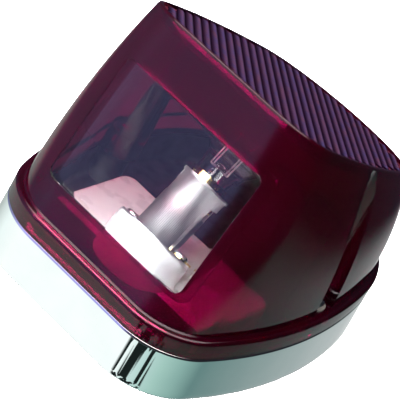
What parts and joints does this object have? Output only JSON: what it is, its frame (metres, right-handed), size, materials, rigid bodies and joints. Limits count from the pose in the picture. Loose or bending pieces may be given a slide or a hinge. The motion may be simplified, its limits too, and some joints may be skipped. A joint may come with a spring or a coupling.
{
  "type": "motorcycle tail light",
  "caption": "Motorcycle tail light: chromed cast base, deep wedge-shaped red lens with a clear plate window and a reflex face, bayonet holder and two-filament bulb.",
  "frame": {"origin": "centre of the lamp's back, on the rubber pad's face", "axes": "+Z out of the back towards the lens, -Y towards the clear plate window, X across the lamp"},
  "size_m": [0.1132, 0.1512, 0.1049],
  "materials": {
    "pad_rubber": "matt moulded rubber",
    "chrome": "bright chrome plate",
    "gasket_foam": "closed-cell foam rubber",
    "red_lens": "transparent deep red acrylic, moulded gloss",
    "clear_lens": "clear acrylic",
    "reflex_red": "red prismatic acrylic",
    "screw_chrome": "chromed steel",
    "fibre": "black fibre",
    "holder_steel": "bright zinc-plated steel",
    "phenolic": "brown phenolic",
    "brass": "bright brass",
    "tinned": "tinned",
    "spring_steel": "drawn spring wire",
    "bulb_glass": "clear blown glass",
    "black_glass": "black vitreous insulator",
    "tungsten": "drawn tungsten"
  },
  "bodies": {
    "root": {"mounting_pad": "pad_rubber", "base_housing": "chrome", "lens_gasket": "gasket_foam", "lens_body": "red_lens", "plate_window": "clear_lens", "reflex_panel": "reflex_red", "lens_screws": "screw_chrome", "lens_screw_washers": "fibre", "socket_shell": "holder_steel", "socket_insulator": "phenolic", "socket_rivets": "tinned", "earth_tab": "brass", "wire_grommet": "pad_rubber", "contact_spring": "spring_steel"},
    "contacts": {"contact_carrier": "phenolic", "contact_plungers": "brass", "terminal_lugs": "tinned"},
    "bulb": {"bulb_glass": "bulb_glass", "bulb_cap": "brass", "bulb_pins": "brass", "bulb_insulator": "black_glass", "bulb_contacts": "tinned", "bulb_stem": "bulb_glass", "filament_wires": "tinned", "tail_filament": "tungsten", "stop_filament": "tungsten"}
  },
  "joints": [
    {"name": "contact_travel", "type": "slide", "parent": "root", "child": "contacts", "axis": [0, 0.5736, 0.8192], "range_m": [-0.0025, 0], "stiffness_N_per_m": 2500, "springref_m": 0.004, "deforming": ["contact_spring"]},
    {"name": "bulb_twist", "type": "hinge", "parent": "contacts", "child": "bulb", "pos_m": [0, -0.035, 0.0255], "axis": [0, 0.5736, 0.8192], "range_deg": [0, 25]}
  ]
}
